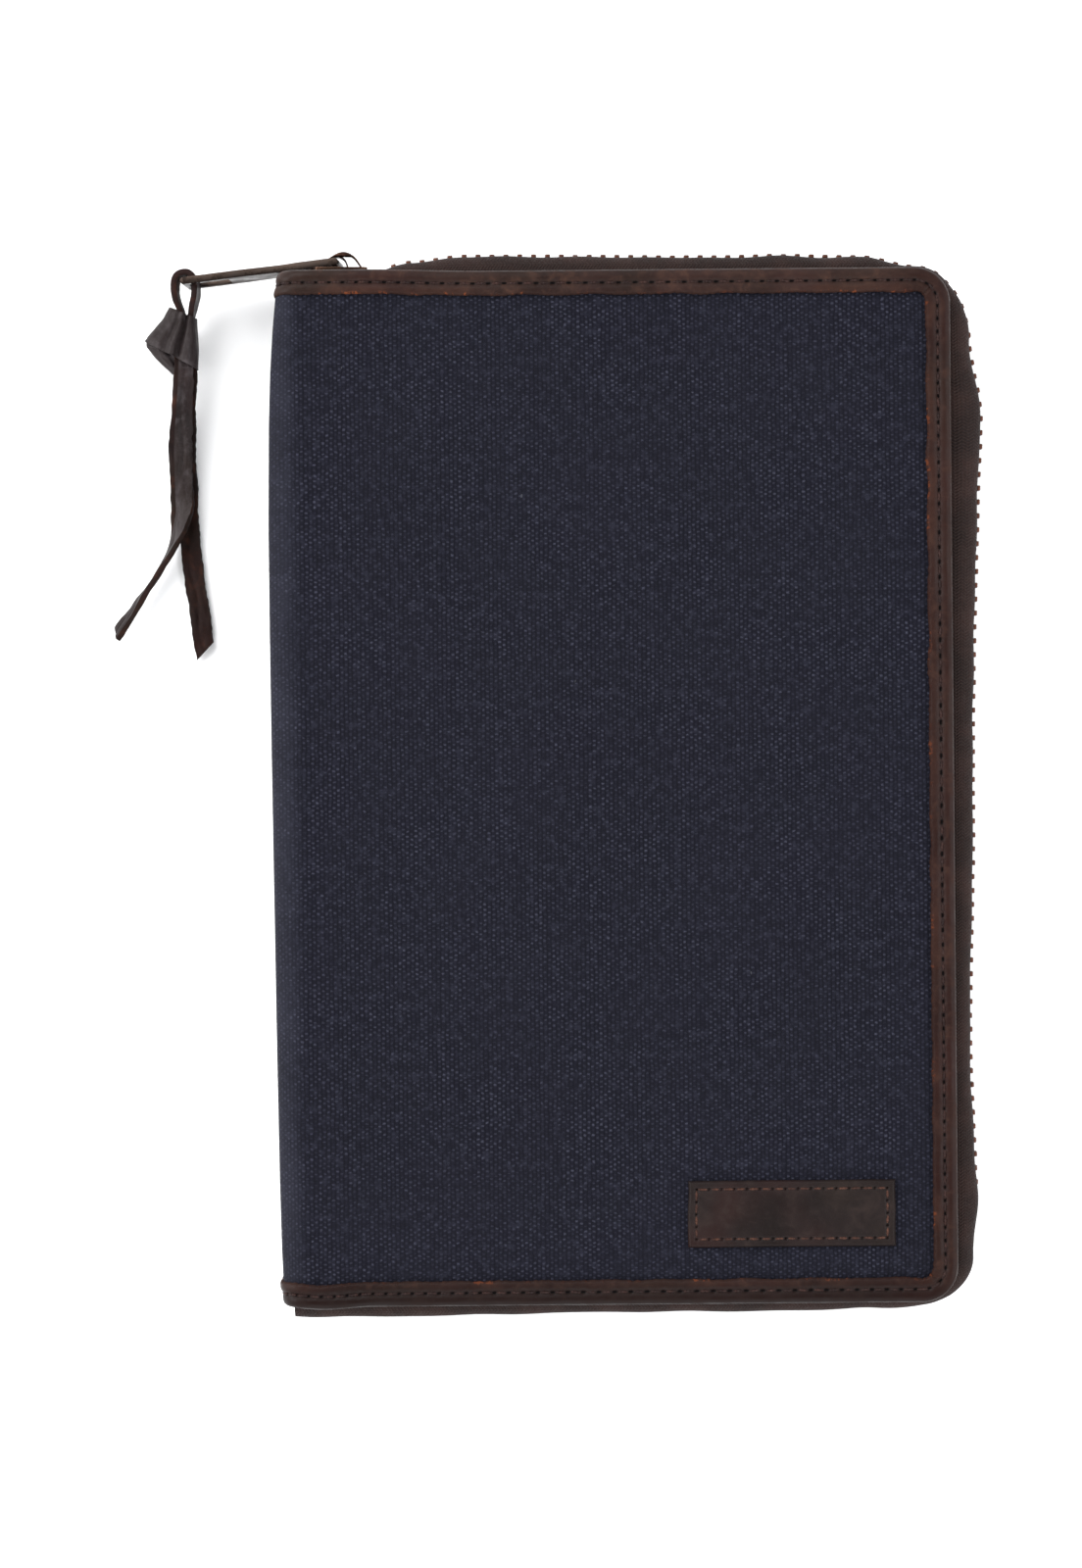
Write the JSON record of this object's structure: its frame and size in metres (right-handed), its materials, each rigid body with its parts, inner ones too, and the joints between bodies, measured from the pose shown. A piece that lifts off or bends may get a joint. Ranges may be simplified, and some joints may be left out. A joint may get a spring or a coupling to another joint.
{
  "type": "passport holder",
  "caption": "Zip-around travel wallet for a passport: waxed canvas covers with leather binding, soft spine, metal zip with knotted leather thong, inner passport and card pockets",
  "frame": {"origin": "centre of the back cover's resting face, midway between the spine's outer face and the fore edge and midway up the cover", "axes": "+X from the spine to the fore edge, +Y up the cover towards the end where the slider is parked, +Z through the thickness from the back cover to the front cover"},
  "size_m": [0.1728, 0.208, 0.024],
  "materials": {
    "waxed_canvas": "tight plain weave, waxed, matt with paler thread crowns",
    "stiffener_board": "grey fibre board",
    "lining_cloth": "fine woven cotton lining, matt",
    "brown_leather": "dark brown pull-up leather, satin, paler raw edges",
    "thread": "twisted red-brown thread",
    "zip_tape": "ribbed brown polyester tape, matt",
    "zip_metal": "antique brass, worn bright on edges",
    "puller_metal": "antique brass, dark with rubbed silvery faces",
    "thong_leather": "soft grey-brown leather strip with reddish raw edges"
  },
  "bodies": {
    "back_cover": {"canvas_back": "waxed_canvas", "stiffener_back": "stiffener_board", "lining_back": "lining_cloth", "binding_back": "brown_leather", "stitching_back": "thread", "document_pocket": "lining_cloth", "passport_gusset": "lining_cloth", "passport_panel": "lining_cloth", "passport_trim": "brown_leather", "zip_tape_back": "zip_tape", "zip_teeth_back": "zip_metal", "top_stop_back": "zip_metal"},
    "spine": {"canvas_spine": "waxed_canvas", "stiffener_spine": "stiffener_board", "lining_spine": "lining_cloth", "binding_spine_top": "brown_leather", "binding_spine_bottom": "brown_leather", "zip_bottom_stop": "zip_metal"},
    "front_cover": {"canvas_front": "waxed_canvas", "stiffener_front": "stiffener_board", "lining_front": "lining_cloth", "binding_front": "brown_leather", "stitching_front": "thread", "label_patch": "brown_leather", "label_stitching": "thread", "slip_pocket": "lining_cloth", "card_pocket_1": "lining_cloth", "card_pocket_2": "lining_cloth", "card_pocket_3": "lining_cloth", "card_pocket_4": "lining_cloth", "zip_tape_front": "zip_tape", "zip_teeth_front": "zip_metal", "top_stop_front": "zip_metal"},
    "slider": {"slider_body": "zip_metal", "slider_crown": "zip_metal"},
    "puller": {"zip_puller": "puller_metal"},
    "thong": {"thong_knot": "thong_leather", "thong_tail_front": "thong_leather", "thong_tail_back": "thong_leather"}
  },
  "joints": [
    {"name": "spine_fold", "type": "hinge", "parent": "back_cover", "child": "spine", "pos_m": [-0.0611, 0, 0.0049], "axis": [0, -1, 0], "range_deg": [0, 90], "deforming": ["canvas_spine", "lining_spine", "binding_spine_top", "binding_spine_bottom", "zip_tape_back", "zip_tape_front", "zip_teeth_back", "zip_teeth_front"]},
    {"name": "cover_fold", "type": "hinge", "parent": "spine", "child": "front_cover", "pos_m": [-0.0611, 0, 0.0191], "axis": [0, -1, 0], "range_deg": [0, 90], "deforming": ["canvas_spine", "lining_spine", "binding_spine_top", "binding_spine_bottom", "zip_tape_back", "zip_tape_front", "zip_teeth_back", "zip_teeth_front"]},
    {"name": "slider_travel", "type": "slide", "parent": "back_cover", "child": "slider", "axis": [0.9997, 0.0227, 0], "range_m": [0, 0.098], "deforming": ["zip_tape_back", "zip_tape_front", "zip_teeth_back", "zip_teeth_front"]},
    {"name": "puller_swing", "type": "hinge", "parent": "slider", "child": "puller", "pos_m": [-0.0535, 0.10245, 0.012], "axis": [0.109, -0.0523, -0.9927], "range_deg": [0, 170]},
    {"name": "thong_swing", "type": "hinge", "parent": "puller", "child": "thong", "pos_m": [-0.08314, 0.10001, 0.00887], "axis": [0.109, -0.0523, -0.9927], "range_deg": [-8, 60]}
  ],
  "couplings": [
    {"joint": "cover_fold", "follows": "spine_fold", "ratio": 1},
    {"joint": "slider_travel", "follows": "spine_fold", "m_per_rad": 0.062325},
    {"joint": "puller_swing", "follows": "spine_fold", "ratio": 1.888}
  ]
}
